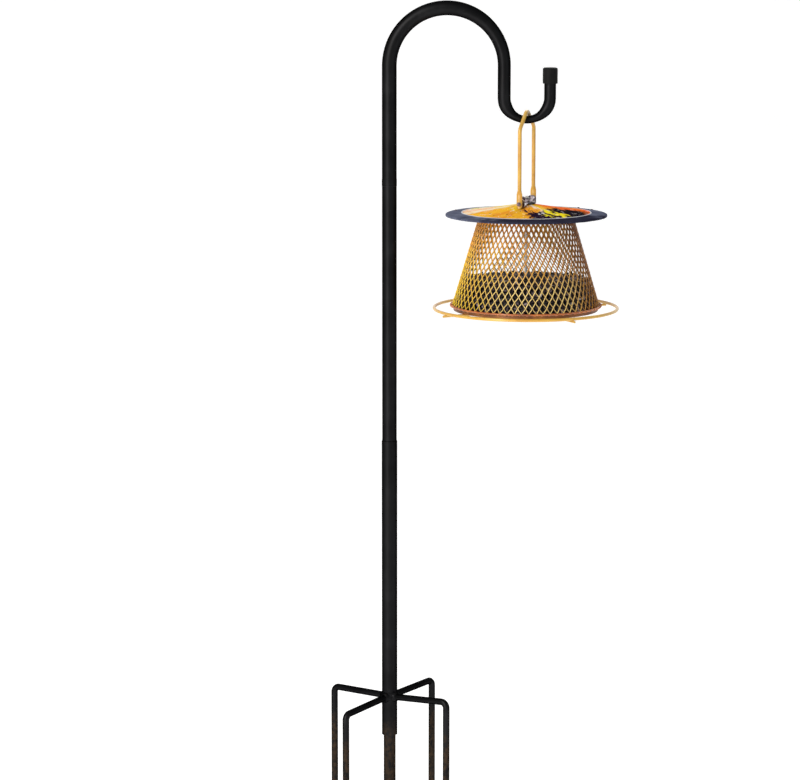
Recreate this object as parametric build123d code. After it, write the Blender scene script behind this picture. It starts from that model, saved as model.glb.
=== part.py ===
from build123d import *
import math
import os

# Hanging mesh seed feeder on a ground-stake pole with an overhead crook.
# Frame: millimetres, +Z up, +X from the pole towards the feeder.
# Origin: on the pole axis at ground level, where the stake enters the soil.

# ---------------------------------------------------------------- dimensions
# stake and prongs
SPIKE_R = 10.4
SPIKE_LEN = 150.0
SPIKE_TIP = 40.0
BASE_R = 13.4
BASE_BORE = 11.9
BASE_TOP = 76.6
PRONG_R = 5.75
PRONG_Z = 68.0
PRONG_REACH = 123.0
PRONG_BEND = 10.0
PRONG_FOOT = -128.0
PRONG_TIP = 24.0
PRONG_AZ = {"prong_rear_right": 52.6, "prong_rear_left": 142.6,
            "prong_front_left": 232.6, "prong_front_right": 322.6}
# height of each hand-bent arm at its corner
PRONG_CORNER_Z = {"prong_rear_right": 71.5, "prong_rear_left": 65.5,
                  "prong_front_left": 60.5, "prong_front_right": 77.0}
# pole sections
LOW_Z0, LOW_Z1 = 76.9, 522.0
UP_Z0, UP_Z1 = 522.3, 960.2
POLE_R, POLE_BORE = 12.5, 11.0
# crook
HOOK_Z0 = 960.5
ARCH_R = 97.0
ARCH_Z = 1163.6
DROP_R = 11.0
TIP_R = 10.0
J_Z = 1109.4
J_RX = 38.8
J_RZ = 36.5
J_FLAT = 6.6
J_DEPTH = 11.2
TIP_TOP = 1152.0
WALL = 1.5
CAP_R = 12.7
CAP_Z0, CAP_Z1 = 1133.8, 1160.7
# feeder
FX = 2 * ARCH_R + J_RX          # feeder axis
TWIST = 72.6                    # heading of the bail plane from +X
BAIL_R = 3.3
BAIL_HALF = 45.5
BAIL_APEX = 1086.6
BAIL_CROWN = 15.5
BAIL_SLOPE = 34.0
PIN_Z = 934.0
PIN_R = 1.8
TAB_W, TAB_T = 5.0, 1.8         # half width and half thickness of the flattened wire ends
TAB_TOP, TAB_FULL, TAB_BOT = 957.0, 950.0, 926.2
ROD_R = 2.5
ROOF_R = 137.5
ROOF_Z = 913.2
ROOF_TOP = 930.5
SHEET = 1.2
CAGE_TOP_Z, CAGE_TOP_R = 914.0, 79.0
CAGE_BOT_Z, CAGE_BOT_R = 757.0, 126.0
CAGE_T = 2.2
PERCH_R, PERCH_WIRE, PERCH_Z = 156.3, 2.7, 751.8
SPOKE_R = 2.0
SPOKE_AZ = (28.0, 118.0, 208.0, 298.0)
FLOOR_Z = PERCH_Z - PERCH_WIRE
SEED_Z = 799.0
SEED_PEAK = 806.0

os.makedirs("parts", exist_ok=True)


# ------------------------------------------------------------------- helpers
def save(name, shape):
    if isinstance(shape, (list, tuple, ShapeList)):
        shape = Compound(children=list(shape))
    export_step(shape, "parts/" + name + ".step")


def rod_between(a, b, r):
    a, b = Vector(*a), Vector(*b)
    d = b - a
    return extrude(Plane(origin=a, z_dir=d) * Circle(r), amount=d.length)


def ring(z0, z1, r_out, r_in, x=0.0, y=0.0):
    body = Pos(x, y, z0) * Cylinder(r_out, z1 - z0, align=(Align.CENTER, Align.CENTER, Align.MIN))
    if r_in > 0:
        body -= Pos(x, y, z0 - 1) * Cylinder(r_in, z1 - z0 + 2, align=(Align.CENTER, Align.CENTER, Align.MIN))
    return body


def turned(points, x=0.0):
    # solid of revolution about a vertical axis at x, from (radius, height) points
    face = make_face(Polyline(*[(p[0], 0, p[1]) for p in points], close=True))
    return Pos(x, 0, 0) * revolve(face, Axis.Z, 360)


def bent_path(points, radii):
    pts = [Vector(*p) for p in points]
    edges = []
    start = pts[0]
    for i in range(1, len(pts) - 1):
        r = radii[i - 1]
        d0 = (pts[i - 1] - pts[i]).normalized()
        d1 = (pts[i + 1] - pts[i]).normalized()
        half = math.radians(d0.get_angle(d1)) / 2
        a = pts[i] + d0 * (r / math.tan(half))
        b = pts[i] + d1 * (r / math.tan(half))
        bis = (d0 + d1).normalized()
        mid = pts[i] + bis * (r / math.sin(half) - r)
        if (a - start).length > 1e-4:
            edges.append(Line(start, a))
        edges.append(ThreePointArc(a, mid, b))
        start = b
    if (pts[-1] - start).length > 1e-4:
        edges.append(Line(start, pts[-1]))
    return Wire([e.edge() for e in edges])


def bent_rod(points, radii, r):
    path = bent_path(points, radii)
    return sweep(Plane(origin=path @ 0, z_dir=path % 0) * Circle(r), path=path)


def one(shape):
    s = shape.solids()
    return s[0] if len(s) == 1 else s


# -------------------------------------------------------------- ground stake
spike = ring(-SPIKE_LEN, 0, SPIKE_R, 0)
spike += Pos(0, 0, -SPIKE_LEN - SPIKE_TIP) * Cone(1.2, SPIKE_R, SPIKE_TIP, align=(Align.CENTER, Align.CENTER, Align.MIN))
spike += ring(0, 22, BASE_BORE, 0)
save("ground_spike", one(spike))

base_tube = ring(0, BASE_TOP, BASE_R, BASE_BORE)
base_tube = chamfer(base_tube.edges().filter_by(GeomType.CIRCLE).group_by(Axis.Z)[-1].sort_by(SortBy.LENGTH)[-1], 0.6)
save("base_tube", one(base_tube))

save("base_spigot", one(ring(36, 130, BASE_BORE, 9.9)))

base_cyl = ring(-10, 120, BASE_R, 0)
beads = []
for name, az in PRONG_AZ.items():
    c, s = math.cos(math.radians(az)), math.sin(math.radians(az))
    cz = PRONG_CORNER_Z[name]
    root = (10 * c, 10 * s, PRONG_Z)
    arm = Vector((PRONG_REACH - 10) * c, (PRONG_REACH - 10) * s, cz - PRONG_Z).normalized()
    rod = bent_rod([root, (PRONG_REACH * c, PRONG_REACH * s, cz),
                    (PRONG_REACH * c, PRONG_REACH * s, PRONG_FOOT)], [PRONG_BEND], PRONG_R)
    tip = Pos(PRONG_REACH * c, PRONG_REACH * s, PRONG_FOOT - PRONG_TIP) * Cone(
        0.8, PRONG_R, PRONG_TIP, align=(Align.CENTER, Align.CENTER, Align.MIN))
    rod = (rod + tip) - base_cyl
    save(name, one(rod))
    bead = Plane(origin=root, z_dir=arm) * Cone(
        9.4, 6.3, 8.0, align=(Align.CENTER, Align.CENTER, Align.MIN))
    bead -= base_cyl
    start = Vector(*root)
    bead -= rod_between(tuple(start - arm * 6), tuple(start + arm * 30), PRONG_R)
    beads.append(one(bead))
save("prong_weld_beads", beads)

# ---------------------------------------------------------------- pole tubes
low = ring(LOW_Z0, LOW_Z1, BASE_R, BASE_BORE)
low = chamfer(low.edges().filter_by(GeomType.CIRCLE).group_by(Axis.Z)[-1].sort_by(SortBy.LENGTH)[-1], 0.8)
save("pole_lower_tube", one(low))
joint = ring(468, LOW_Z1, BASE_BORE, 9.5) + ring(LOW_Z1, 576, POLE_BORE, 9.5)
save("pole_joint_spigot", one(joint))
save("pole_upper_tube", one(ring(UP_Z0, UP_Z1, POLE_R, POLE_BORE)))

# --------------------------------------------------------------------- crook
spigot = ring(898, HOOK_Z0, POLE_BORE - 0.05, 9.4) + ring(HOOK_Z0, 1012, POLE_BORE, 9.4)
save("hook_spigot", one(spigot))


def crook_section(x, z, tx, tz, a, b):
    # oval section: a in the plane of the crook, b across it
    return Plane(origin=(x, 0, z), x_dir=(0, 1, 0), z_dir=(tx, 0, tz)) * Ellipse(b, a)


def arch_stations(cut):
    out = []
    for k in range(0, 7):
        t = math.radians(90 - 15 * k)
        f = k / 6.0
        r = POLE_R + (DROP_R - POLE_R) * f * f * (3 - 2 * f) - cut
        out.append(crook_section(ARCH_R + ARCH_R * math.cos(t), ARCH_Z + ARCH_R * math.sin(t),
                                 math.sin(t), -math.cos(t), r, r))
    return out


def j_stations(cut):
    out = []
    for k in range(0, 13):
        t = math.radians(180 + 15 * k)
        x = FX + J_RX * math.cos(t)
        z = J_Z + J_RZ * math.sin(t)
        tx, tz = -J_RX * math.sin(t), J_RZ * math.cos(t)
        n = math.hypot(tx, tz)
        f = k / 12.0
        end = DROP_R + (TIP_R - DROP_R) * f
        w = min(1.0, max(0.0, (abs(180 - 360 * f) / 2 - 16) / 56.0))
        w = w * w * (3 - 2 * w)
        out.append(crook_section(x, z, tx / n, tz / n, J_FLAT + (end - J_FLAT) * w - cut,
                                 J_DEPTH + (end - J_DEPTH) * w - cut))
    return out


crook_path = Wire([Line((0, 0, HOOK_Z0), (0, 0, ARCH_Z)).edge(),
                   ThreePointArc((0, 0, ARCH_Z), (ARCH_R - ARCH_R * math.cos(math.pi / 4), 0,
                                                  ARCH_Z + ARCH_R * math.sin(math.pi / 4)),
                                 (ARCH_R, 0, ARCH_Z + ARCH_R)).edge()])


def crook(cut):
    # rising leg and first quarter of the arch, tapering quarter, straight drop,
    # flattened J, straight tip
    return [sweep(Plane(origin=(0, 0, HOOK_Z0), z_dir=(0, 0, 1)) * Circle(POLE_R - cut), path=crook_path),
            loft(arch_stations(cut)),
            ring(J_Z, ARCH_Z, DROP_R - cut, 0, 2 * ARCH_R),
            loft(j_stations(cut)),
            ring(J_Z, TIP_TOP, TIP_R - cut, 0, FX + J_RX)]


hook_tube = None
for solid_part, void_part in zip(crook(0), crook(WALL)):
    shell = solid_part - void_part
    hook_tube = shell if hook_tube is None else hook_tube + shell
swage = ring(HOOK_Z0, HOOK_Z0 + 12, 12.8, POLE_R - 0.5)
swage = chamfer(swage.edges().filter_by(GeomType.CIRCLE).group_by(Axis.Z)[-1].sort_by(SortBy.LENGTH)[-1], 0.25)
hook_tube += swage
save("hook_tube", one(hook_tube))

cap = ring(CAP_Z0, CAP_Z1, CAP_R, 0, FX + J_RX)
cap = fillet(cap.edges().filter_by(GeomType.CIRCLE).group_by(Axis.Z)[-1], 3.0)
cap = fillet(cap.edges().filter_by(GeomType.CIRCLE).group_by(Axis.Z)[0], 0.8)
cap -= ring(CAP_Z0 - 1, TIP_TOP, TIP_R + 0.02, 0, FX + J_RX)
save("hook_end_cap", one(cap))

# ---------------------------------------------------------------------- bail
CU, SU = math.cos(math.radians(TWIST)), math.sin(math.radians(TWIST))


def feeder_pt(u, n, z):
    return (FX + u * CU - n * SU, u * SU + n * CU, z)


peak = BAIL_APEX + BAIL_CROWN * (1 / math.cos(math.radians(BAIL_SLOPE)) - 1)
shoulder = peak - BAIL_HALF * math.tan(math.radians(BAIL_SLOPE))
half = [(-BAIL_HALF, 0, TAB_TOP), (-BAIL_HALF, 0, shoulder)]
route = [feeder_pt(*p) for p in half] + [feeder_pt(0, 0, peak)] + [feeder_pt(-u, n, z) for u, n, z in reversed(half)]
bail = bent_rod(route, [10, BAIL_CROWN, 10], BAIL_R)
for sgn in (-1, 1):
    # the wire end is hammered flat across the pin, rounded at the bottom and bored
    def level(z):
        return Plane(origin=feeder_pt(sgn * BAIL_HALF, 0, z), x_dir=(-SU, CU, 0), z_dir=(0, 0, 1))
    neck = loft([level(TAB_FULL) * Ellipse(TAB_W, TAB_T), level(TAB_TOP) * Circle(BAIL_R)])
    tab = extrude(level(TAB_BOT - 2) * Ellipse(TAB_W, TAB_T), amount=TAB_FULL - TAB_BOT + 2)
    low = TAB_BOT + TAB_W + 0.4
    keep = rod_between(feeder_pt(sgn * (BAIL_HALF - 5), 0, low), feeder_pt(sgn * (BAIL_HALF + 5), 0, low), TAB_W + 0.4)
    keep += level(low) * Box(20, 20, TAB_FULL - low, align=(Align.CENTER, Align.CENTER, Align.MIN))
    bail += neck + (tab & keep)
bail -= rod_between(feeder_pt(-60, 0, PIN_Z), feeder_pt(60, 0, PIN_Z), PIN_R + 0.05)
save("bail_wire", one(bail))

# ---------------------------------------------------------------- roof group
roof = turned([(2.8, ROOF_TOP), (12, ROOF_TOP), (60, 922.6), (107, 914.9), (109.5, 916.3), (112, 914.7), (136.2, ROOF_Z),
               (ROOF_R, 912.5), (ROOF_R, 909.4), (ROOF_R - 1.2, 909.4), (ROOF_R - 1.2, 912.0), (112, 913.5),
               (109.5, 914.9), (107, 913.7), (60, 921.4), (12, ROOF_TOP - SHEET), (2.8, ROOF_TOP - SHEET)], FX)
RIVETS = []
for az in (26.6, 43.0, 158.0):
    c, s = math.cos(math.radians(az)), math.sin(math.radians(az))
    rx, ry, rz = FX + 128.5 * c, 128.5 * s, ROOF_Z + 0.5
    roof -= ring(rz - 5, rz + 5, 1.6, 0, rx, ry)
    shank = ring(rz - 2.4, rz + 0.6, 1.6, 0, rx, ry)
    dome = Pos(rx, ry, rz - 0.55) * (Sphere(2.5) - Pos(0, 0, -4.0) * Box(12, 12, 10))
    tail = ring(rz - 3.1, rz - 1.9, 2.4, 0, rx, ry)
    RIVETS.append(one((shank + dome + tail) - roof))
save("roof_cone", one(roof))
save("roof_rim_rivets", RIVETS)
save("roof_seal_washer", one(ring(ROOF_TOP, 932.0, 15.5, 2.8, FX)))

prof = [(16, 932.0), (38, 927.9), (38, 941.5), (36, 941.5), (36, 930.2), (15, 934.0)]
prof = prof + [(-u, z) for u, z in reversed(prof)]
frame_pl = Plane(origin=(FX, 0, 0), x_dir=(CU, SU, 0), z_dir=(SU, -CU, 0))
saddle = extrude(frame_pl * make_face(Polyline(*prof, close=True)), amount=7.0, both=True)
ear_top = [e for e in saddle.edges().filter_by(lambda e: abs(e.length - 2.0) < 0.01) if e.center().Z > 941]
saddle = fillet(ear_top, 5.5)
saddle -= ring(920, 945, 2.8, 0, FX)
saddle -= rod_between(feeder_pt(-50, 0, PIN_Z), feeder_pt(50, 0, PIN_Z), PIN_R)
save("hanger_saddle", one(saddle))

pins = []
for sgn in (-1, 1):
    pin = rod_between(feeder_pt(sgn * 34.4, 0, PIN_Z), feeder_pt(sgn * 53.0, 0, PIN_Z), PIN_R)
    pin += rod_between(feeder_pt(sgn * 33.8, 0, PIN_Z), feeder_pt(sgn * 36.0, 0, PIN_Z), 3.4)
    pin += rod_between(feeder_pt(sgn * 38.0, 0, PIN_Z), feeder_pt(sgn * 43.6, 0, PIN_Z), 3.4)
    nut_pl = Plane(origin=feeder_pt(sgn * 47.5, 0, PIN_Z), z_dir=(sgn * CU, sgn * SU, 0))
    pin += extrude(nut_pl * RegularPolygon(3.6, 6), amount=2.8)
    pins.append(one(pin))
save("hanger_pins", pins)

# ------------------------------------------------------------------ wing nut
NUT_Z = 934.3
WING_AZ = math.radians(58)
hub = Pos(FX, 0, NUT_Z) * Cone(6.2, 4.8, 7.0, align=(Align.CENTER, Align.CENTER, Align.MIN))
wing_pl = Plane(origin=(FX, 0, NUT_Z), x_dir=(math.cos(WING_AZ), math.sin(WING_AZ), 0), z_dir=(math.sin(WING_AZ), -math.cos(WING_AZ), 0))
for sgn in (-1, 1):
    outline = make_face(Polyline((sgn * 3.2, 1.2), (sgn * 6.8, 1.0), (sgn * 11.2, 3.4), (sgn * 14.2, 7.2), (sgn * 13.2, 9.6),
                                 (sgn * 9.6, 9.2), (sgn * 6.4, 7.0), (sgn * 3.2, 6.2), close=True))
    hub += extrude(wing_pl * outline, amount=1.25, both=True)
hub -= ring(NUT_Z - 1, NUT_Z + 20, ROD_R + 0.05, 0, FX)
save("wing_nut", one(hub))

# ---------------------------------------------------------------- cage group
rod = ring(740.0, 944.0, ROD_R, 0, FX)
rod = chamfer(rod.edges().filter_by(GeomType.CIRCLE), 0.5)
save("centre_rod", one(rod))
save("roof_spacer", one(ring(912.0, 929.1, 6.0, ROD_R + 0.02, FX)))
save("cage_top_ring", one(Pos(FX, 0, 911.0) * Torus(75.0, 2.0)))
bar = Plane(origin=(FX, 0, 910.0), x_dir=(CU, SU, 0), z_dir=(0, 0, 1)) * Box(145.4, 12.0, 2.0, align=(Align.CENTER, Align.CENTER, Align.MIN))
bar -= ring(900, 920, ROD_R + 0.02, 0, FX)
save("cage_cross_bar", one(bar))
mesh = turned([(CAGE_TOP_R, CAGE_TOP_Z), (CAGE_BOT_R, CAGE_BOT_Z), (CAGE_BOT_R - CAGE_T, CAGE_BOT_Z),
               (CAGE_TOP_R - CAGE_T, CAGE_TOP_Z)], FX)
save("cage_mesh", one(mesh))
save("cage_bottom_ring", one(Pos(FX, 0, CAGE_BOT_Z) * Torus(CAGE_BOT_R + 2.05, 2.0)))
pan = turned([(ROD_R + 0.02, FLOOR_Z), (123.5, FLOOR_Z), (123.5, 757.5), (122.0, 757.5), (122.0, FLOOR_Z + 1.5),
              (ROD_R + 0.02, FLOOR_Z + 1.5)], FX)
save("floor_pan", one(pan))
save("rod_washer", one(ring(FLOOR_Z - 1.5, FLOOR_Z, 9.0, ROD_R + 0.02, FX)))
nut = extrude(Pos(FX, 0, FLOOR_Z - 6.5) * RegularPolygon(5.8, 6), amount=5.0)
nut -= ring(FLOOR_Z - 8, FLOOR_Z, ROD_R + 0.02, 0, FX)
save("rod_nut", one(nut))
save("perch_ring", one(Pos(FX, 0, PERCH_Z) * Torus(PERCH_R, PERCH_WIRE)))
spokes = []
for az in SPOKE_AZ:
    c, s = math.cos(math.radians(az)), math.sin(math.radians(az))
    z = FLOOR_Z - SPOKE_R
    wire = rod_between((FX + 12 * c, 12 * s, z), (FX + 161 * c, 161 * s, z), SPOKE_R)
    spokes.append(one(wire))
save("perch_spokes", spokes)

slope = (CAGE_BOT_R - CAGE_TOP_R) / (CAGE_TOP_Z - CAGE_BOT_Z)


def cage_inner(z):
    return CAGE_TOP_R + (CAGE_TOP_Z - z) * slope - CAGE_T


seeds = turned([(ROD_R + 0.1, FLOOR_Z + 1.6), (121.4, FLOOR_Z + 1.6), (121.4, 758.0), (cage_inner(764) - 0.6, 764.0),
                (cage_inner(SEED_Z) - 0.6, SEED_Z), (ROD_R + 0.1, SEED_PEAK)], FX)
save("seed_fill", one(seeds))
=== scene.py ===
import bpy
import math
import random
from mathutils import Vector, Matrix, noise as mnoise


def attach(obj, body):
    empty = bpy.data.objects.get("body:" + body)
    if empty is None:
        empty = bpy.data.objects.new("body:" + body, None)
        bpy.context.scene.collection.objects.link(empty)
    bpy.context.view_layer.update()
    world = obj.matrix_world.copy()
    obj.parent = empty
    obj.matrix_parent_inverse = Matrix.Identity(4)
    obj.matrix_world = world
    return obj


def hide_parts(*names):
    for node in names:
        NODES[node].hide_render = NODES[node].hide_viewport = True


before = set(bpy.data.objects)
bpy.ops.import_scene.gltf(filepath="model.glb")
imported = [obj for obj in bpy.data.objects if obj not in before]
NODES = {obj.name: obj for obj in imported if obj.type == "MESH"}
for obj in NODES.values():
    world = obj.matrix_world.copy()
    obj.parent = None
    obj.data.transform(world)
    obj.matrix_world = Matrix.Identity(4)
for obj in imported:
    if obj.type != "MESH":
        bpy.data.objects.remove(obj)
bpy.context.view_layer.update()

FX = 0.2328                      # feeder axis
TWIST = math.radians(72.6)       # heading of the bail plane
CU, SU = math.cos(TWIST), math.sin(TWIST)
MM = 0.001


# ------------------------------------------------------------------ camera
cam_data = bpy.data.cameras.new("view_camera")
cam_data.lens = 36.0 * 2986.0 / 800.0
cam_data.sensor_width = 36.0
cam_data.sensor_fit = "HORIZONTAL"
cam_data.clip_start = 0.05
cam_data.clip_end = 60.0
cam = bpy.data.objects.new("view_camera", cam_data)
cam.location = (0.018105, -5.05693, 1.44659)
cam.rotation_euler = (math.radians(90.0 - 9.4), 0.0, 0.0)
bpy.context.scene.collection.objects.link(cam)
bpy.context.scene.camera = cam


# ------------------------------------------------------------ mesh helpers
def make_obj(name, verts, faces, mat=None, smooth=True, angle=None):
    me = bpy.data.meshes.new(name)
    me.from_pydata([tuple(v) for v in verts], [], [tuple(f) for f in faces])
    me.validate()
    me.update()
    if mat is not None:
        me.materials.append(mat)
    ob = bpy.data.objects.new(name, me)
    bpy.context.scene.collection.objects.link(ob)
    if smooth:
        me.polygons.foreach_set("use_smooth", [True] * len(me.polygons))
        if angle is not None:
            sharp_by_angle(me, angle)
    return ob


def sharp_by_angle(me, degrees):
    lim = math.radians(degrees)
    import bmesh
    bm = bmesh.new()
    bm.from_mesh(me)
    for e in bm.edges:
        if len(e.link_faces) == 2:
            e.smooth = e.calc_face_angle(0.0) < lim
    bm.to_mesh(me)
    bm.free()


def lathe(profile, seg, cx=FX, cy=0.0, closed=True, wobble=None):
    """profile: (r, z) points in metres, outline of the section."""
    verts, faces = [], []
    n = len(profile)
    for i in range(seg):
        a = 2 * math.pi * i / seg
        c, s = math.cos(a), math.sin(a)
        for r, z in profile:
            dz = wobble(r, a) if wobble else 0.0
            verts.append((cx + r * c, cy + r * s, z + dz))
    for i in range(seg):
        j = (i + 1) % seg
        for k in range(n if closed else n - 1):
            m = (k + 1) % n
            faces.append((i * n + k, j * n + k, j * n + m, i * n + m))
    return verts, faces


def tube(points, radius, sides=12, closed=False, caps=True, up=None, radius_fn=None, flat=None):
    """Round tube along points. radius_fn(i) overrides radius; flat is not used."""
    pts = [Vector(p) for p in points]
    n = len(pts)
    verts, faces = [], []
    prev = None
    for i, p in enumerate(pts):
        a = pts[(i - 1) % n] if (closed or i > 0) else pts[i]
        b = pts[(i + 1) % n] if (closed or i < n - 1) else pts[i]
        t = (b - a).normalized()
        if prev is None:
            ref = Vector(up) if up else (Vector((0, 0, 1)) if abs(t.z) < 0.9 else Vector((1, 0, 0)))
        else:
            ref = prev
        nrm = (ref - t * ref.dot(t)).normalized()
        prev = nrm
        bi = t.cross(nrm)
        r = radius_fn(i) if radius_fn else radius
        for k in range(sides):
            ang = 2 * math.pi * k / sides
            verts.append(p + nrm * (r * math.cos(ang)) + bi * (r * math.sin(ang)))
    rings = n if closed else n - 1
    for i in range(rings):
        j = (i + 1) % n
        for k in range(sides):
            m = (k + 1) % sides
            faces.append((i * sides + k, i * sides + m, j * sides + m, j * sides + k))
    if caps and not closed:
        faces.append(tuple(range(sides - 1, -1, -1)))
        faces.append(tuple(range((n - 1) * sides, n * sides)))
    return verts, faces


def join(parts):
    verts, faces = [], []
    for v, f in parts:
        o = len(verts)
        verts.extend(v)
        faces.extend(tuple(i + o for i in q) for q in f)
    return verts, faces


def feeder_pt(u, n, z):
    return Vector((FX + u * CU - n * SU, u * SU + n * CU, z))


# -------------------------------------------------------- material helpers
def new_mat(name):
    m = bpy.data.materials.new(name)
    m.use_nodes = True
    nt = m.node_tree
    nt.nodes.clear()
    out = nt.nodes.new("ShaderNodeOutputMaterial")
    bsdf = nt.nodes.new("ShaderNodeBsdfPrincipled")
    nt.links.new(bsdf.outputs["BSDF"], out.inputs["Surface"])
    return m, nt, bsdf


def node(nt, kind, inputs=None, **props):
    nd = nt.nodes.new(kind)
    for k, v in props.items():
        setattr(nd, k, v)
    for k, v in (inputs or {}).items():
        s = nd.inputs[k]
        if hasattr(v, "is_output") and v.is_output:
            nt.links.new(v, s)
        else:
            s.default_value = v
    return nd


def coords(nt, scale=(1, 1, 1), loc=(0, 0, 0)):
    tc = node(nt, "ShaderNodeTexCoord")
    mp = node(nt, "ShaderNodeMapping", {"Vector": tc.outputs["Object"]})
    mp.inputs["Scale"].default_value = scale
    mp.inputs["Location"].default_value = loc
    return mp.outputs["Vector"]


def noise_tex(nt, vec, scale, detail=4.0, rough=0.55, dist=0.0):
    return node(nt, "ShaderNodeTexNoise", {"Vector": vec, "Scale": scale, "Detail": detail, "Roughness": rough, "Distortion": dist}).outputs["Fac"]


def ramp(nt, fac, stops, interp="LINEAR"):
    rp = node(nt, "ShaderNodeValToRGB", {"Fac": fac})
    cr = rp.color_ramp
    cr.interpolation = interp
    while len(cr.elements) > 1:
        cr.elements.remove(cr.elements[-1])
    cr.elements[0].position = stops[0][0]
    cr.elements[0].color = tuple(stops[0][1]) + (1.0,)
    for pos, col in stops[1:]:
        e = cr.elements.new(pos)
        e.color = tuple(col) + (1.0,)
    return rp.outputs["Color"]


def grey(v):
    return (v, v, v)


def math_n(nt, op, a, b=0.5, clamp=False):
    nd = node(nt, "ShaderNodeMath", operation=op, use_clamp=clamp)
    for i, v in enumerate((a, b)):
        if hasattr(v, "is_output"):
            nt.links.new(v, nd.inputs[i])
        else:
            nd.inputs[i].default_value = v
    return nd.outputs["Value"]


def mix_col(nt, fac, a, b, mode="MIX"):
    nd = node(nt, "ShaderNodeMix", data_type="RGBA", blend_type=mode)
    for idx, v in ((0, fac), (6, a), (7, b)):
        if hasattr(v, "is_output"):
            nt.links.new(v, nd.inputs[idx])
        else:
            nd.inputs[idx].default_value = v if idx == 0 else tuple(v) + (1.0,)
    return nd.outputs[2]


def map_range(nt, v, a, b, c, d, smooth=False):
    nd = node(nt, "ShaderNodeMapRange", {"Value": v, "From Min": a, "From Max": b, "To Min": c, "To Max": d},
              interpolation_type="SMOOTHSTEP" if smooth else "LINEAR")
    return nd.outputs["Result"]


def bump(nt, bsdf, height, strength, distance):
    b = node(nt, "ShaderNodeBump", {"Height": height, "Strength": strength, "Distance": distance})
    nt.links.new(b.outputs["Normal"], bsdf.inputs["Normal"])


def sep_xyz(nt, vec):
    return node(nt, "ShaderNodeSeparateXYZ", {"Vector": vec}).outputs


# --------------------------------------------------------------- materials
def col_luma(nt, col):
    bw = node(nt, "ShaderNodeRGBToBW")
    nt.links.new(col, bw.inputs["Color"])
    return bw.outputs["Val"]


def powder_coat(name, soil=False):
    m, nt, b = new_mat(name)
    v = coords(nt)
    big = noise_tex(nt, v, 14.0, 5.0, 0.6)
    fine = noise_tex(nt, v, 750.0, 3.0, 0.5)
    peel = noise_tex(nt, v, 260.0, 2.0, 0.45)
    base = ramp(nt, big, [(0.30, (0.010, 0.010, 0.0105)), (0.55, (0.0155, 0.0155, 0.0165)), (0.75, (0.025, 0.025, 0.0265))])
    specks = ramp(nt, noise_tex(nt, v, 420.0, 2.0, 0.7), [(0.70, grey(0.0)), (0.76, grey(1.0))])
    dust = ramp(nt, noise_tex(nt, coords(nt, (1, 1, 0.35)), 38.0, 6.0, 0.65), [(0.52, grey(0.0)), (0.80, grey(0.5))])
    col = mix_col(nt, math_n(nt, "MULTIPLY", specks, 0.18), base, (0.045, 0.042, 0.038))
    col = mix_col(nt, math_n(nt, "MULTIPLY", dust, 0.10), col, (0.07, 0.06, 0.048))
    if soil:
        z = sep_xyz(nt, v)["Z"]
        edge = math_n(nt, "ADD", z, map_range(nt, noise_tex(nt, v, 60.0, 5.0, 0.65), 0.0, 1.0, -0.05, 0.05))
        low = map_range(nt, edge, -0.005, 0.030, 1.0, 0.0, True)
        mud = ramp(nt, noise_tex(nt, v, 130.0, 6.0, 0.7), [(0.42, grey(0.0)), (0.62, grey(1.0))])
        fac = math_n(nt, "MULTIPLY", low, math_n(nt, "MULTIPLY", mud, 0.8))
        col = mix_col(nt, fac, col, (0.085, 0.055, 0.034))
        rough = map_range(nt, fac, 0.0, 0.8, 0.40, 0.85)
    else:
        rough = map_range(nt, big, 0.3, 0.7, 0.40, 0.50)
    nt.links.new(col, b.inputs["Base Color"])
    nt.links.new(rough, b.inputs["Roughness"])
    h = math_n(nt, "ADD", math_n(nt, "MULTIPLY", peel, 0.7), math_n(nt, "MULTIPLY", fine, 0.3))
    bump(nt, b, h, 0.22, 0.00035)
    # a dark, soft sheen that dies away towards the outline of the tube
    nt.links.new(map_range(nt, col_luma(nt, col), 0.03, 0.07, 0.96, 0.2), b.inputs["Metallic"])
    b.inputs["Specular Tint"].default_value = (0.0, 0.0, 0.0, 1.0)
    b.inputs["Specular IOR Level"].default_value = 0.05
    return m


def rubber(name):
    m, nt, b = new_mat(name)
    v = coords(nt)
    big = noise_tex(nt, v, 60.0, 4.0)
    fine = noise_tex(nt, v, 1400.0, 3.0, 0.6)
    nt.links.new(ramp(nt, big, [(0.3, (0.0045, 0.0045, 0.0048)), (0.7, (0.0100, 0.0096, 0.0096))]), b.inputs["Base Color"])
    nt.links.new(map_range(nt, big, 0.3, 0.7, 0.50, 0.68), b.inputs["Roughness"])
    b.inputs["Specular IOR Level"].default_value = 0.10
    bump(nt, b, fine, 0.25, 0.0002)
    return m


def coated_wire(name, bright, mid, dark, warm_x=False):
    m, nt, b = new_mat(name)
    v = coords(nt)
    big = noise_tex(nt, v, 22.0, 5.0, 0.6)
    mid_n = noise_tex(nt, v, 160.0, 4.0, 0.6)
    fine = noise_tex(nt, v, 900.0, 3.0, 0.6)
    base = ramp(nt, big, [(0.28, dark), (0.50, mid), (0.72, bright)])
    scuff = ramp(nt, mid_n, [(0.60, grey(0.0)), (0.72, grey(1.0))])
    col = mix_col(nt, math_n(nt, "MULTIPLY", scuff, 0.35), base, tuple(c * 0.55 for c in dark))
    nt.links.new(col, b.inputs["Base Color"])
    nt.links.new(map_range(nt, mid_n, 0.3, 0.7, 0.24, 0.42), b.inputs["Roughness"])
    bump(nt, b, math_n(nt, "ADD", math_n(nt, "MULTIPLY", mid_n, 0.6), math_n(nt, "MULTIPLY", fine, 0.3)), 0.25, 0.0004)
    b.inputs["Coat Weight"].default_value = 0.35
    b.inputs["Coat Roughness"].default_value = 0.18
    return m


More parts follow.
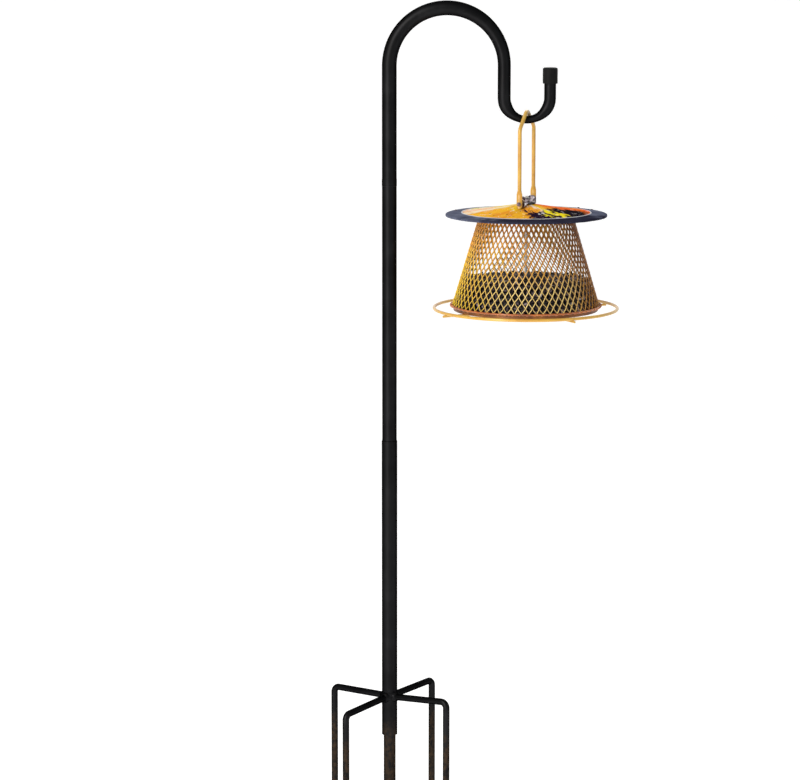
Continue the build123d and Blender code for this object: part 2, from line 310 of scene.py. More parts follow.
def gold_mesh_mat(name):
    m, nt, b = new_mat(name)
    v = coords(nt)
    xyz = sep_xyz(nt, v)
    x = map_range(nt, xyz["X"], FX - 0.125, FX + 0.125, 0.0, 1.0)
    z = map_range(nt, xyz["Z"], 0.757, 0.914, 0.0, 1.0)
    jit = noise_tex(nt, v, 45.0, 5.0, 0.6)
    fine = noise_tex(nt, v, 420.0, 4.0, 0.65)
    # painted light and shade: the gold runs from bright yellow on the left and low down to dark brown on the right and
    # at the top
    painted_light_grad = math_n(nt, "ADD", math_n(nt, "MULTIPLY", x, 0.62), math_n(nt, "MULTIPLY", z, 0.42))
    painted_light_grad = math_n(nt, "ADD", painted_light_grad, map_range(nt, jit, 0.25, 0.75, -0.20, 0.20))
    base = ramp(nt, painted_light_grad, [(0.05, (0.92, 0.62, 0.04)), (0.24, (0.90, 0.53, 0.045)), (0.46, (0.72, 0.335, 0.040)),
                           (0.70, (0.48, 0.185, 0.026)), (0.95, (0.26, 0.085, 0.017))])
    wear = ramp(nt, fine, [(0.52, grey(0.0)), (0.66, grey(1.0))])
    col = mix_col(nt, math_n(nt, "MULTIPLY", wear, 0.55), base, (0.16, 0.055, 0.015))
    # painted highlight: paler gold low on the front and inside the far wall
    low = math_n(nt, "MULTIPLY", map_range(nt, z, 0.22, 0.50, 1.0, 0.0, True), map_range(nt, x, 0.06, 0.34, 0.0, 1.0, True))
    low = math_n(nt, "MULTIPLY", low, map_range(nt, x, 0.72, 0.96, 1.0, 0.0, True))
    far = math_n(nt, "MULTIPLY", map_range(nt, xyz["Y"], 0.0, 0.05, 0.0, 0.85, True), map_range(nt, x, 0.70, 0.95, 1.0, 0.25, True))
    pale_highlight_mask = math_n(nt, "MAXIMUM", low, far)
    pale_highlight_mask = math_n(nt, "MULTIPLY", pale_highlight_mask, map_range(nt, jit, 0.3, 0.6, 0.75, 1.0))
    col = mix_col(nt, pale_highlight_mask, col, (0.88, 0.66, 0.24))
    # painted shade: the downward-facing sides of each strand are darkened to brown
    side = node(nt, "ShaderNodeAttribute", attribute_name="strand_lit").outputs["Fac"]
    shade = math_n(nt, "ADD", side, map_range(nt, jit, 0.3, 0.7, -0.15, 0.15))
    col = mix_col(nt, map_range(nt, shade, 0.22, 0.62, 0.86, 0.0, True), col, (0.075, 0.022, 0.008))
    nt.links.new(col, b.inputs["Base Color"])
    nt.links.new(map_range(nt, fine, 0.3, 0.7, 0.30, 0.5), b.inputs["Roughness"])
    b.inputs["Metallic"].default_value = 0.10
    b.inputs["Specular IOR Level"].default_value = 0.35
    bump(nt, b, fine, 0.3, 0.0003)
    return m


def zinc(name, stops, metal=0.88):
    m, nt, b = new_mat(name)
    v = coords(nt)
    spangle = node(nt, "ShaderNodeTexVoronoi", {"Vector": v, "Scale": 420.0}).outputs["Color"]
    mid_n = noise_tex(nt, v, 130.0, 5.0, 0.65)
    fine = noise_tex(nt, v, 1100.0, 3.0, 0.6)
    base = ramp(nt, mid_n, stops)
    col = mix_col(nt, 0.12, base, spangle, "OVERLAY")
    rust = ramp(nt, noise_tex(nt, v, 220.0, 6.0, 0.7), [(0.60, grey(0.0)), (0.70, grey(1.0))])
    col = mix_col(nt, math_n(nt, "MULTIPLY", rust, 0.45), col, (0.20, 0.085, 0.035))
    nt.links.new(col, b.inputs["Base Color"])
    nt.links.new(map_range(nt, rust, 0.0, 1.0, metal, metal * 0.4), b.inputs["Metallic"])
    nt.links.new(map_range(nt, mid_n, 0.3, 0.7, 0.26, 0.48), b.inputs["Roughness"])
    bump(nt, b, fine, 0.3, 0.0002)
    return m


def roof_mat(name):
    """Roof sheet with its mirror-gloss reflections painted into the colour: painted reflection streaks on the cone, a
    blue-grey painted sky reflection on the brim.
    """
    m, nt, b = new_mat(name)
    v = coords(nt, loc=(-FX, 0, 0))
    xyz = sep_xyz(nt, v)
    r = math_n(nt, "SQRT", math_n(nt, "ADD", math_n(nt, "MULTIPLY", xyz["X"], xyz["X"]), math_n(nt, "MULTIPLY", xyz["Y"], xyz["Y"])), 0.0)
    ang = math_n(nt, "ARCTAN2", xyz["Y"], xyz["X"])            # -pi..pi, 0 at +X
    turn = math_n(nt, "ADD", math_n(nt, "DIVIDE", ang, 2 * math.pi), 0.5)   # 0 at -X through front to 1
    # painted reflection streaks that run outwards from the centre
    comb = node(nt, "ShaderNodeCombineXYZ")
    nt.links.new(math_n(nt, "MULTIPLY", turn, 9.0), comb.inputs["X"])
    nt.links.new(math_n(nt, "MULTIPLY", r, 11.0), comb.inputs["Y"])
    streak = noise_tex(nt, comb.outputs["Vector"], 2.6, 5.0, 0.62, 0.6)
    blot = noise_tex(nt, v, 26.0, 5.0, 0.6, 0.8)
    t2 = math_n(nt, "ADD", turn, map_range(nt, streak, 0.25, 0.75, -0.055, 0.055))
    t2 = math_n(nt, "ADD", t2, map_range(nt, blot, 0.25, 0.75, -0.03, 0.03))
    # painted reflections: cream and orange at the left, dark patches at the front, red-orange at the right, pale cream
    # at the back
    outer = ramp(nt, t2, [
        (0.00, (0.92, 0.80, 0.62)), (0.035, (0.90, 0.70, 0.45)), (0.06, (0.90, 0.40, 0.04)), (0.12, (0.92, 0.50, 0.04)), (0.17, (0.80, 0.30, 0.03)), (0.21, (0.92, 0.50, 0.03)),
        (0.250, (0.80, 0.32, 0.03)), (0.268, (0.016, 0.008, 0.022)), (0.325, (0.020, 0.010, 0.030)), (0.338, (0.90, 0.76, 0.02)),
        (0.372, (0.88, 0.70, 0.02)), (0.386, (0.012, 0.008, 0.018)), (0.455, (0.010, 0.009, 0.013)), (0.472, (0.030, 0.022, 0.012)),
        (0.49, (0.86, 0.16, 0.03)), (0.56, (0.88, 0.12, 0.03)), (0.61, (0.90, 0.34, 0.05)), (0.70, (0.45, 0.16, 0.04)),
        (0.78, (0.92, 0.76, 0.60)), (0.84, (0.92, 0.88, 0.80)), (0.89, (0.78, 0.70, 0.12)), (0.93, (0.93, 0.86, 0.76)), (0.97, (0.92, 0.50, 0.26))])
    inner = ramp(nt, t2, [
        (0.00, (0.92, 0.82, 0.66)), (0.05, (0.90, 0.62, 0.16)), (0.09, (0.90, 0.44, 0.03)), (0.16, (0.92, 0.60, 0.03)), (0.24, (0.82, 0.30, 0.03)), (0.29, (0.92, 0.42, 0.03)),
        (0.335, (0.90, 0.86, 0.80)), (0.35, (0.92, 0.62, 0.03)), (0.42, (0.90, 0.34, 0.03)), (0.50, (0.88, 0.14, 0.03)), (0.58, (0.86, 0.20, 0.05)),
        (0.64, (0.10, 0.05, 0.04)), (0.72, (0.85, 0.40, 0.10)), (0.82, (0.94, 0.86, 0.76)), (0.92, (0.90, 0.70, 0.16))])
    reach = math_n(nt, "ADD", r, map_range(nt, streak, 0.25, 0.75, -0.022, 0.022))
    sector = mix_col(nt, map_range(nt, reach, 0.050, 0.058, 0.0, 1.0, True), inner, outer)
    # painted glints and painted dark reflections laid as streaks over the cone
    painted_glints = ramp(nt, noise_tex(nt, comb.outputs["Vector"], 5.5, 4.0, 0.6, 0.4), [(0.60, grey(0.0)), (0.66, grey(1.0))])
    painted_dark_streaks = ramp(nt, noise_tex(nt, comb.outputs["Vector"], 7.5, 5.0, 0.65, 0.5), [(0.58, grey(0.0)), (0.68, grey(1.0))])
    cone = mix_col(nt, math_n(nt, "MULTIPLY", painted_dark_streaks, 0.75), sector, (0.13, 0.040, 0.012))
    cone = mix_col(nt, math_n(nt, "MULTIPLY", painted_glints, 0.7), cone, (0.88, 0.84, 0.80))
    # painted sky reflection: a blue-grey brim
    brim_n = noise_tex(nt, v, 34.0, 5.0, 0.6)
    brim = ramp(nt, brim_n, [(0.30, (0.060, 0.066, 0.105)), (0.52, (0.120, 0.132, 0.190)), (0.74, (0.230, 0.250, 0.330))])
    # painted dark reflection: the front of the brim is nearly black
    front = math_n(nt, "MULTIPLY", map_range(nt, t2, 0.10, 0.20, 0.0, 1.0, True), map_range(nt, t2, 0.40, 0.50, 1.0, 0.0, True))
    brim = mix_col(nt, math_n(nt, "MULTIPLY", front, 0.88), brim, (0.012, 0.010, 0.024))
    edge = map_range(nt, r, 0.1080, 0.1092, 0.0, 1.0, True)
    col = mix_col(nt, edge, cone, brim)
    # painted highlight: a pale line along the raised ridge at the cone's edge
    ridge_highlight = math_n(nt, "MULTIPLY", map_range(nt, r, 0.1080, 0.1093, 0.0, 1.0, True), map_range(nt, r, 0.1100, 0.1115, 1.0, 0.0, True))
    col = mix_col(nt, math_n(nt, "MULTIPLY", ridge_highlight, 0.75), col, (0.86, 0.86, 0.88))
    grime = ramp(nt, noise_tex(nt, v, 95.0, 6.0, 0.7), [(0.55, grey(0.0)), (0.75, grey(1.0))])
    col = mix_col(nt, math_n(nt, "MULTIPLY", grime, 0.22), col, (0.05, 0.035, 0.03))
    nt.links.new(col, b.inputs["Base Color"])
    b.inputs["Specular IOR Level"].default_value = 0.0
    rr = math_n(nt, "ADD", map_range(nt, edge, 0.0, 1.0, 0.16, 0.34), map_range(nt, grime, 0.0, 1.0, 0.0, 0.18))
    nt.links.new(rr, b.inputs["Roughness"])
    dents = noise_tex(nt, v, 17.0, 3.0, 0.5)
    fine = noise_tex(nt, v, 500.0, 3.0, 0.6)
    bump(nt, b, math_n(nt, "ADD", math_n(nt, "MULTIPLY", dents, 1.0), math_n(nt, "MULTIPLY", fine, 0.04)), 0.30, 0.0022)
    return m


def seed_mat(name):
    m, nt, b = new_mat(name)
    v = coords(nt)
    var = node(nt, "ShaderNodeAttribute", attribute_name="seed_tone")
    along = node(nt, "ShaderNodeAttribute", attribute_name="seed_stripe")
    tone = ramp(nt, var.outputs["Fac"], [(0.0, (0.0035, 0.0022, 0.003)), (0.45, (0.009, 0.0055, 0.007)), (0.70, (0.040, 0.024, 0.032)),
                                         (0.86, (0.13, 0.095, 0.115)), (0.95, (0.36, 0.29, 0.31)), (1.0, (0.62, 0.56, 0.50))])
    stripe = ramp(nt, along.outputs["Fac"], [(0.42, grey(0.0)), (0.50, grey(1.0)), (0.58, grey(0.0))])
    husk = noise_tex(nt, v, 520.0, 4.0, 0.6)
    col = mix_col(nt, math_n(nt, "MULTIPLY", stripe, 0.35), tone, (0.30, 0.27, 0.25))
    col = mix_col(nt, map_range(nt, husk, 0.50, 0.75, 0.0, 0.22), col, (0.075, 0.055, 0.060))
    nt.links.new(col, b.inputs["Base Color"])
    nt.links.new(map_range(nt, husk, 0.3, 0.7, 0.34, 0.62), b.inputs["Roughness"])
    b.inputs["Specular IOR Level"].default_value = 0.25
    bump(nt, b, husk, 0.5, 0.0004)
    return m


def floor_sheet_mat(name):
    m, nt, b = new_mat(name)
    v = coords(nt)
    big = noise_tex(nt, v, 26.0, 5.0, 0.6)
    fine = noise_tex(nt, v, 380.0, 4.0, 0.65)
    # painted shade: the pan's orange-brown is darkened so its wall reads as a shadow line below the mesh
    nt.links.new(ramp(nt, big, [(0.3, (0.085, 0.028, 0.010)), (0.52, (0.20, 0.070, 0.018)), (0.72, (0.40, 0.17, 0.032))]), b.inputs["Base Color"])
    nt.links.new(map_range(nt, fine, 0.3, 0.7, 0.32, 0.55), b.inputs["Roughness"])
    b.inputs["Metallic"].default_value = 0.4
    bump(nt, b, math_n(nt, "ADD", math_n(nt, "MULTIPLY", big, 0.6), math_n(nt, "MULTIPLY", fine, 0.2)), 0.3, 0.0008)
    return m


M_BLACK = powder_coat("black_powder_coat")
M_SOIL = powder_coat("black_powder_coat_soiled", soil=True)
M_RUBBER = rubber("black_rubber")
M_YELLOW = coated_wire("yellow_coated_wire", (0.70, 0.43, 0.075), (0.65, 0.36, 0.052), (0.52, 0.235, 0.034))
M_HEM = coated_wire("orange_coated_hem", (0.66, 0.22, 0.035), (0.46, 0.125, 0.025), (0.22, 0.055, 0.015))
M_GOLD = gold_mesh_mat("gold_orange_mesh")
M_ZINC = zinc("zinc_hardware", [(0.30, (0.50, 0.47, 0.44)), (0.52, (0.74, 0.72, 0.69)), (0.72, (0.86, 0.85, 0.83))], 0.08)
M_STEEL = zinc("weathered_steel", [(0.36, (0.030, 0.018, 0.022)), (0.50, (0.14, 0.11, 0.125)), (0.64, (0.62, 0.58, 0.60))], 0.80)
M_ROOF = roof_mat("lacquered_roof")
M_SEED = seed_mat("seed_husk")
M_PAN = floor_sheet_mat("floor_sheet")


def give(mat, *names):
    for n in names:
        me = NODES[n].data
        me.materials.clear()
        me.materials.append(mat)


give(M_BLACK, "pole_lower_tube", "pole_upper_tube", "hook_tube", "hook_spigot", "pole_joint_spigot", "base_spigot")
give(M_SOIL, "base_tube", "ground_spike", "prong_rear_right", "prong_rear_left", "prong_front_left", "prong_front_right", "prong_weld_beads")
give(M_RUBBER, "hook_end_cap", "roof_seal_washer")
give(M_YELLOW, "bail_wire", "perch_ring", "perch_spokes")
give(M_HEM, "cage_bottom_ring", "cage_top_ring", "cage_cross_bar")
give(M_GOLD, "cage_mesh")
give(M_ZINC, "centre_rod", "roof_spacer", "rod_washer", "rod_nut")
give(M_STEEL, "hanger_saddle", "hanger_pins", "wing_nut", "roof_rim_rivets")
give(M_ROOF, "roof_cone")
give(M_PAN, "floor_pan")
give(M_SEED, "seed_fill")


# ------------------------------------------------- diamond mesh of the cage
Z_BOT, Z_TOP = 0.7570, 0.9140
R_BOT, R_TOP = 0.1250, 0.0780
ROWS, CELLS = 17, 64


def cone_r(z):
    return R_TOP + (Z_TOP - z) / (Z_TOP - Z_BOT) * (R_BOT - R_TOP)


STRAND_T = ((0.0, 0.18, 0.38, 0.62, 0.82, 1.0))


def build_mesh():
    rnd = random.Random(7)
    tilt = math.atan2(R_BOT - R_TOP, Z_TOP - Z_BOT)
    zs = [Z_BOT + (Z_TOP - Z_BOT) * i / ROWS for i in range(ROWS + 1)]
    step = 2 * math.pi / CELLS
    # small irregularities of the stretched sheet, shared by the strands that meet
    jit = {(i, j): (rnd.uniform(-0.05, 0.05) * step, rnd.uniform(-0.5, 0.5) * MM) for i in range(ROWS + 1) for j in range(CELLS)}

    def knot(i, j):
        da, dz = jit[(i, j % CELLS)]
        if i in (0, ROWS):
            dz = 0.0
        return (j + 0.5 * (i % 2)) * step + da, zs[i] + dz

    parts = []
    lit = []
    for k in range(ROWS):
        w = (1.40 + 1.05 * (k / (ROWS - 1)) ** 1.25) * MM      # strand width grows towards the tight top
        h = (1.75 + 0.35 * (k / (ROWS - 1))) * MM
        off = w * 0.30
        pts = []
        for j in range(CELLS):
            if k % 2 == 0:
                lo, hi, nxt = knot(k, j), knot(k + 1, j), knot(k, j + 1)
            else:
                lo, hi, nxt = knot(k, j), knot(k + 1, j + 1), knot(k, j + 1)
            # each strand leaves a bond upright, crosses over, and enters the next bond upright
            for (a0, z0), (a1, z1), s0, s1 in ((lo, hi, 1, -1), (hi, nxt, -1, 1)):
                z0 += s0 * off
                z1 += s1 * off
                side = 0.62 * MM * (1 if a1 > a0 else -1)
                for t in STRAND_T:
                    f = t - 0.55 * math.sin(2 * math.pi * t) / (2 * math.pi)
                    zz = z0 + (z1 - z0) * t
                    r = cone_r(zz)
                    lean = 0.22 * MM * (s0 * (1 - t) + s1 * t)
                    aa = (a0 + side / r) + ((a1 - side / r) - (a0 + side / r)) * f
                    pts.append((aa, zz, r + lean))
        n = len(pts)
        P = [Vector((FX + r * math.cos(a), r * math.sin(a), z)) for a, z, r in pts]
        verts, faces = [], []
        sides = 6
        for i in range(n):
            t = (P[(i + 1) % n] - P[i - 1]).normalized()
            a = pts[i][0]
            nrm = Vector((math.cos(a) * math.cos(tilt), math.sin(a) * math.cos(tilt), math.sin(tilt)))
            nrm = (nrm - t * nrm.dot(t)).normalized()
            bi = t.cross(nrm)
            # twist of the strand
            tw = 0.35 if (i // len(STRAND_T)) % 2 == 0 else -0.35
            c, s = math.cos(tw), math.sin(tw)
            n2, b2 = nrm * c + bi * s, bi * c - nrm * s
            for x, y in ((-0.5, -0.22), (0.0, -0.5), (0.5, -0.22), (0.5, 0.22), (0.0, 0.5), (-0.5, 0.22)):
                verts.append(P[i] + b2 * (x * w) + n2 * (y * h))
                # painted shade: the downward-facing side of each strand is marked dark, the ridge lit
                lit.append(1.0 if x == 0.0 else (0.0 if x * b2.z < 0 else 0.85))
        for i in range(n):
            j = (i + 1) % n
            for q in range(sides):
                m = (q + 1) % sides
                faces.append((i * sides + q, i * sides + m, j * sides + m, j * sides + q))
        parts.append((verts, faces))
    v, f = join(parts)
    ob = make_obj("cage_diamond_mesh", v, f, M_GOLD, angle=50)
    layer = ob.data.attributes.new("strand_lit", "FLOAT", "POINT")
    layer.data.foreach_set("value", lit)
    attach(ob, "cage")
    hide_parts("cage_mesh")
    # folded strip along the mesh's top edge, tucked under the roof
    prof = [(0.0766, 0.9085), (0.0792, 0.9085), (0.0790, 0.9138), (0.0768, 0.9140)]
    v, f = lathe(prof, 160)
    top = make_obj("cage_top_hem", v, f, M_HEM, angle=40)
    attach(top, "cage")


build_mesh()


# ------------------------------------------- bottom hem with its wire wrap
def build_hem():
    R, z, r = 0.12740, 0.7568, 0.0014
    seg = 240
    core = tube([(FX + R * math.cos(2 * math.pi * i / seg), R * math.sin(2 * math.pi * i / seg), z) for i in range(seg)], r, 12, closed=True)
    turns, per = CELLS, 14
    pts = []
    total = turns * per
    for i in range(total):
        a = 2 * math.pi * i / total
        t = 2 * math.pi * turns * i / total
        rr = R + (r + 0.00045) * math.cos(t)
        pts.append((FX + rr * math.cos(a), rr * math.sin(a), z + (r + 0.00045) * math.sin(t)))
    wrap = tube(pts, 0.00062, 6, closed=True)
    v, f = join([core, wrap])
    ob = make_obj("cage_bottom_hem", v, f, M_HEM)
    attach(ob, "cage")
    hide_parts("cage_bottom_ring")


build_hem()


# -------------------------------------------------------------------- seeds
def seed_shape(length, width, thick):
    """A husk: pointed at one end, rounded at the other, slightly flattened."""
    rings, sides = 7, 8
    verts, faces, stripe = [], [], []
    verts.append(Vector((-0.5 * length, 0, 0)))
    stripe.append(0.5)
    for i in range(1, rings):
        t = i / rings
        x = (t - 0.5) * length
        w = math.sin(math.pi * t ** 0.72) ** 0.8
        for k in range(sides):
            a = 2 * math.pi * k / sides
            verts.append(Vector((x, 0.5 * width * w * math.cos(a), 0.5 * thick * w * math.sin(a))))
            stripe.append(0.5 + 0.5 * math.cos(a))
    verts.append(Vector((0.5 * length, 0, 0)))
    stripe.append(0.5)
    last = len(verts) - 1
    for k in range(sides):
        m = (k + 1) % sides
        faces.append((0, 1 + m, 1 + k))
        faces.append((last, 1 + (rings - 2) * sides + k, 1 + (rings - 2) * sides + m))
        for i in range(rings - 2):
            a, b2 = 1 + i * sides, 1 + (i + 1) * sides
            faces.append((a + k, a + m, b2 + m, b2 + k))
    return verts, faces, stripe


def build_seeds():
    rnd = random.Random(21)
    verts, faces, tone, stripe = [], [], [], []

    def add(pos, normal, tv):
        ln = rnd.uniform(9.0, 12.0) * MM
        sv, sf, ss = seed_shape(ln, rnd.uniform(4.8, 6.4) * MM, rnd.uniform(3.0, 4.2) * MM)
        nrm = Vector(normal).normalized()
        nrm = (nrm + Vector((rnd.gauss(0, 0.35), rnd.gauss(0, 0.35), rnd.gauss(0, 0.35)))).normalized()
        axis = Vector((rnd.gauss(0, 1), rnd.gauss(0, 1), rnd.gauss(0, 0.7)))
        axis = (axis - nrm * axis.dot(nrm)).normalized()
        rot = Matrix((axis, nrm.cross(axis), nrm)).transposed()
        o = len(verts)
        for p in sv:
            verts.append(rot @ p + Vector(pos))
        for q in sf:
            faces.append(tuple(i + o for i in q))
        tone.extend([tv] * len(sv))
        stripe.extend(ss)

    def tone_value():
        x = rnd.random()
        if x < 0.80:
            return rnd.uniform(0.0, 0.65)
        if x < 0.955:
            return rnd.uniform(0.65, 0.90)
        return rnd.uniform(0.90, 1.0)

    top_z = 0.7990
    # against the mesh wall
    z = 0.7555
    while z < top_z:
        r = min(cone_r(z) - 5.0 * MM, 0.1195 if z < 0.762 else 1.0)
        n = int(2 * math.pi * r / (6.6 * MM))
        for i in range(n):
            a = 2 * math.pi * (i + rnd.uniform(-0.4, 0.4)) / n
            rr = r - abs(rnd.gauss(0, 1.0)) * MM
            zz = z + rnd.uniform(-2.0, 2.0) * MM
            add((FX + rr * math.cos(a), rr * math.sin(a), zz), (math.cos(a), math.sin(a), 0.3), tone_value())
        z += 5.4 * MM
    # the heap's upper surface
    r = 0.008
    while r < cone_r(top_z) - 5.5 * MM:
        n = max(6, int(2 * math.pi * r / (7.2 * MM)))
        for i in range(n):
            a = 2 * math.pi * (i + rnd.uniform(-0.4, 0.4)) / n
            rr = r + rnd.uniform(-2.2, 2.2) * MM
            zz = top_z + (0.0065 * (1 - rr / 0.110)) + 1.6 * MM * mnoise.noise(Vector((rr * 30 * math.cos(a), rr * 30 * math.sin(a), 0))) + rnd.uniform(-1.0, 0.9) * MM
            add((FX + rr * math.cos(a), rr * math.sin(a), zz), (0.1 * math.cos(a), 0.1 * math.sin(a), 1), tone_value())
        r += 6.0 * MM
    # dark mass behind the visible layer
    prof = [(0.0032, 0.7512), (0.1165, 0.7512), (cone_r(0.764) - 0.0078, 0.764), (cone_r(top_z) - 0.0088, top_z - 0.0015),
            (0.060, top_z + 0.0015), (0.0032, top_z + 0.0045)]
    cv, cf = lathe(prof, 96)
    o = len(verts)
    verts.extend(Vector(p) for p in cv)
    faces.extend(tuple(i + o for i in q) for q in cf)
    tone.extend([0.05] * len(cv))
    stripe.extend([0.0] * len(cv))
    ob = make_obj("seed_heap", verts, faces, M_SEED)
    me = ob.data
    if len(me.vertices) == len(tone):
        at = me.attributes.new("seed_tone", "FLOAT", "POINT")
        at.data.foreach_set("value", tone)
        at = me.attributes.new("seed_stripe", "FLOAT", "POINT")
        at.data.foreach_set("value", stripe)
    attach(ob, "cage")
    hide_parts("seed_fill")


build_seeds()


# --------------------------------------------------------------------- roof
def build_roof():
    def wob(r, a):
        if r < 0.02:
            return 0.0
        k = min(1.0, (r - 0.02) / 0.05)
        return k * 0.00022 * mnoise.noise(Vector((9 * math.cos(a) * r * 6, 9 * math.sin(a) * r * 6, 3.1)))

    top = [(0.0033, 0.9305), (0.0112, 0.9305), (0.0132, 0.9302)]
    for i in range(1, 13):
        t = i / 13.0
        top.append((0.0132 + (0.1055 - 0.0132) * t, 0.9302 + (0.9151 - 0.9302) * t - 0.0003 * math.sin(math.pi * t)))
    top += [(0.1062, 0.9149), (0.1075, 0.9150), (0.1085, 0.9157), (0.1092, 0.9162), (0.1099, 0.9162), (0.1106, 0.9157), (0.1116, 0.9149),
            (0.1130, 0.91465), (0.1200, 0.9142), (0.1290, 0.9137), (0.1352, 0.91335), (0.1364, 0.9131), (0.1372, 0.9126), (0.1375, 0.9118),
            (0.1375, 0.9104), (0.1372, 0.9096), (0.1367, 0.9095), (0.1363, 0.9098)]
    low = [(r, z - 0.0012) for r, z in top if r < 0.1355]
    low.append((0.1361, 0.9117))
    prof = top + low[::-1]
    v, f = lathe(prof, 288, wobble=wob)
    ob = make_obj("roof_sheet", v, f, M_ROOF, angle=50)
    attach(ob, "roof")
    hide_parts("roof_cone")


build_roof()


# ----------------------------------------------------------------- wing nut
def build_wing_nut():
    z0 = 0.9343
    rb = 0.00255
    prof = [(rb, z0), (0.0060, z0), (0.0062, z0 + 0.0004), (0.0062, z0 + 0.0014), (0.0058, z0 + 0.0022), (0.0052, z0 + 0.0048),
            (0.0048, z0 + 0.0063), (0.0045, z0 + 0.0069), (0.0040, z0 + 0.0070), (rb, z0 + 0.0068)]
    parts = [lathe(prof, 48)]
    ang = math.radians(58)
    ux, uy = math.cos(ang), math.sin(ang)
    out = [(3.3, 1.3), (6.2, 0.9), (8.4, 1.5), (10.4, 2.7), (12.2, 4.4), (13.6, 6.2), (14.1, 7.8), (13.6, 9.1), (12.4, 9.5),
           (10.8, 9.3), (9.2, 8.6), (7.8, 7.7), (6.2, 6.8), (4.8, 6.3), (3.3, 6.1)]
    for sgn in (-1, 1):
        verts, faces = [], []
        n = len(out)
        cx = sum(p[0] for p in out) / n
        cz = sum(p[1] for p in out) / n
        layers = ((0.86, -1.2), (1.0, -0.75), (1.0, 0.75), (0.86, 1.2))
        for sc, y in layers:
            for px, pz in out:
                x = sgn * (cx + (px - cx) * sc) * MM if px > 3.4 else sgn * px * MM
                zz = (cz + (pz - cz) * sc) * MM
                verts.append((FX + x * ux - y * MM * uy, x * uy + y * MM * ux, z0 + zz))
        for L in range(3):
            for k in range(n):
                m = (k + 1) % n
                faces.append((L * n + k, L * n + m, (L + 1) * n + m, (L + 1) * n + k))
        faces.append(tuple(range(n - 1, -1, -1)))
        faces.append(tuple(range(3 * n, 4 * n)))
        parts.append((verts, faces))
    v, f = join(parts)
    ob = make_obj("wing_nut_cast", v, f, M_STEEL, angle=55)
    import bmesh
    bm = bmesh.new(); bm.from_mesh(ob.data)
    bmesh.ops.recalc_face_normals(bm, faces=bm.faces)
    bm.to_mesh(ob.data); bm.free()
    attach(ob, "nut")
    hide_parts("wing_nut")


build_wing_nut()


# -------------------------------------------------------------- weld beads
def build_welds():
    rnd = random.Random(5)
    parts = []
    for az, corner_z in ((52.6, 71.5), (142.6, 65.5), (232.6, 60.5), (322.6, 77.0)):
        c, s = math.cos(math.radians(az)), math.sin(math.radians(az))
        slope = (corner_z - 68.0) / 113.0
        seg = 48
        verts, faces = [], []
        # rings of the bead, from the rod out to the tube wall
        prof = [(17.4, 5.77), (16.8, 6.5), (15.8, 7.4), (14.8, 8.3), (13.8, 9.0), (12.4, 9.3), (12.4, 5.77)]
        n = len(prof)
        ph = rnd.uniform(0, 6)
        for i in range(seg):
            a = 2 * math.pi * i / seg
            rip = 1.0 + 0.055 * abs(math.sin(a * 7 + ph)) + 0.02 * mnoise.noise(Vector((a * 2, az, 0)))
            for q, (d, r) in enumerate(prof):
                rr = r if r < 5.8 else r * (0.95 + (rip - 1.0))
                # follow the round wall of the tube
                x = rr * math.cos(a)
                z = rr * math.sin(a)
                dd = d
                if d < 14.0 and r > 5.8:
                    dd = max(d - 1.6, math.sqrt(max(13.2 ** 2 - x * x, 1.0)) - 0.2) if d < 13 else math.sqrt(max(13.6 ** 2 - x * x, 1.0)) + 0.3
                verts.append(((dd * c - x * s) * MM, (dd * s + x * c) * MM, (68.0 + z + slope * (dd - 10.0)) * MM))
        for i in range(seg):
            j = (i + 1) % seg
            for k in range(n):
                m = (k + 1) % n
                faces.append((i * n + k, i * n + m, j * n + m, j * n + k))
        parts.append((verts, faces))
    v, f = join(parts)
    ob = make_obj("weld_beads", v, f, M_SOIL)
    import bmesh
    bm = bmesh.new(); bm.from_mesh(ob.data)
    bmesh.ops.recalc_face_normals(bm, faces=bm.faces)
    bm.to_mesh(ob.data); bm.free()
    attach(ob, "pole")
    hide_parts("prong_weld_beads")


build_welds()


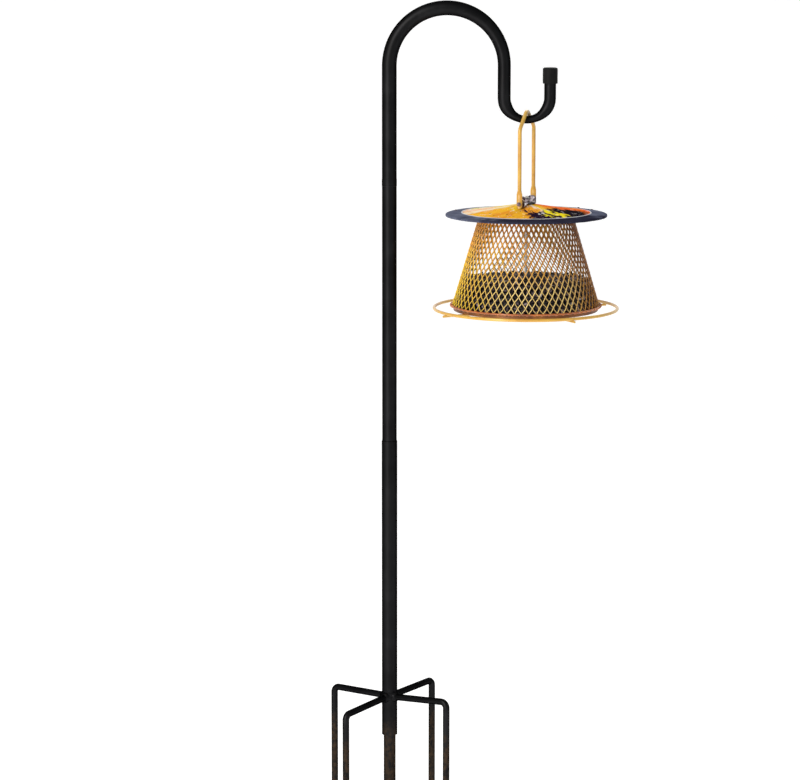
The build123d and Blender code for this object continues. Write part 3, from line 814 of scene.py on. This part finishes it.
# ---------------------------------------------------- floor, light, backdrop
def build_stage():
    fz = -0.1905
    prof = [(-9.0, fz)]
    y0, rad = 3.2, 2.2
    prof.append((y0, fz))
    for i in range(1, 17):
        a = math.pi / 2 * i / 16
        prof.append((y0 + rad * math.sin(a), fz + rad * (1 - math.cos(a))))
    prof.append((y0 + rad, fz + 9.0))
    verts, faces = [], []
    for x in (-12.0, 12.0):
        for y, z in prof:
            verts.append((x, y, z))
    n = len(prof)
    for k in range(n - 1):
        faces.append((k, n + k, n + k + 1, k + 1))
    m, nt, b = new_mat("pale_floor")
    v = coords(nt)
    nt.links.new(ramp(nt, noise_tex(nt, v, 1.3, 3.0), [(0.3, (0.83, 0.83, 0.825)), (0.7, (0.86, 0.86, 0.855))]), b.inputs["Base Color"])
    b.inputs["Roughness"].default_value = 0.75
    b.inputs["Specular IOR Level"].default_value = 0.2
    b.inputs["Emission Color"].default_value = (1.0, 1.0, 1.0, 1.0)
    b.inputs["Emission Strength"].default_value = 0.45
    ob = make_obj("floor", verts, faces, m)


build_stage()


def area(name, loc, target, size, power, color=(1, 1, 1), size_y=None):
    ld = bpy.data.lights.new(name, "AREA")
    ld.energy = power
    ld.color = color
    ld.shape = "RECTANGLE"
    ld.size = size
    ld.size_y = size_y or size
    ob = bpy.data.objects.new(name, ld)
    ob.location = loc
    d = Vector(target) - Vector(loc)
    ob.rotation_euler = d.to_track_quat("-Z", "Y").to_euler()
    bpy.context.scene.collection.objects.link(ob)
    return ob


area("key_light", (-2.4, -3.2, 3.2), (0.15, 0, 0.8), 1.6, 120.0, (1.0, 0.97, 0.92))
area("fill_light", (3.0, -2.8, 1.8), (0.15, 0, 0.7), 2.2, 12.0, (0.94, 0.97, 1.0))
area("strip_light", (-1.50, -2.45, 0.85), (0.05, 0, 0.75), 0.28, 32.0, (1.0, 0.98, 0.95), 2.3)
area("back_light", (0.9, 2.2, 3.3), (0.15, 0, 0.9), 1.8, 40.0)

world = bpy.data.worlds.new("studio")
bpy.context.scene.world = world
world.use_nodes = True
bg = world.node_tree.nodes.get("Background") or world.node_tree.nodes.new("ShaderNodeBackground")
bg.inputs["Color"].default_value = (0.95, 0.97, 1.0, 1.0)
bg.inputs["Strength"].default_value = 0.32
bpy.context.scene.view_settings.view_transform = "Standard"
bpy.context.scene.view_settings.look = "None"
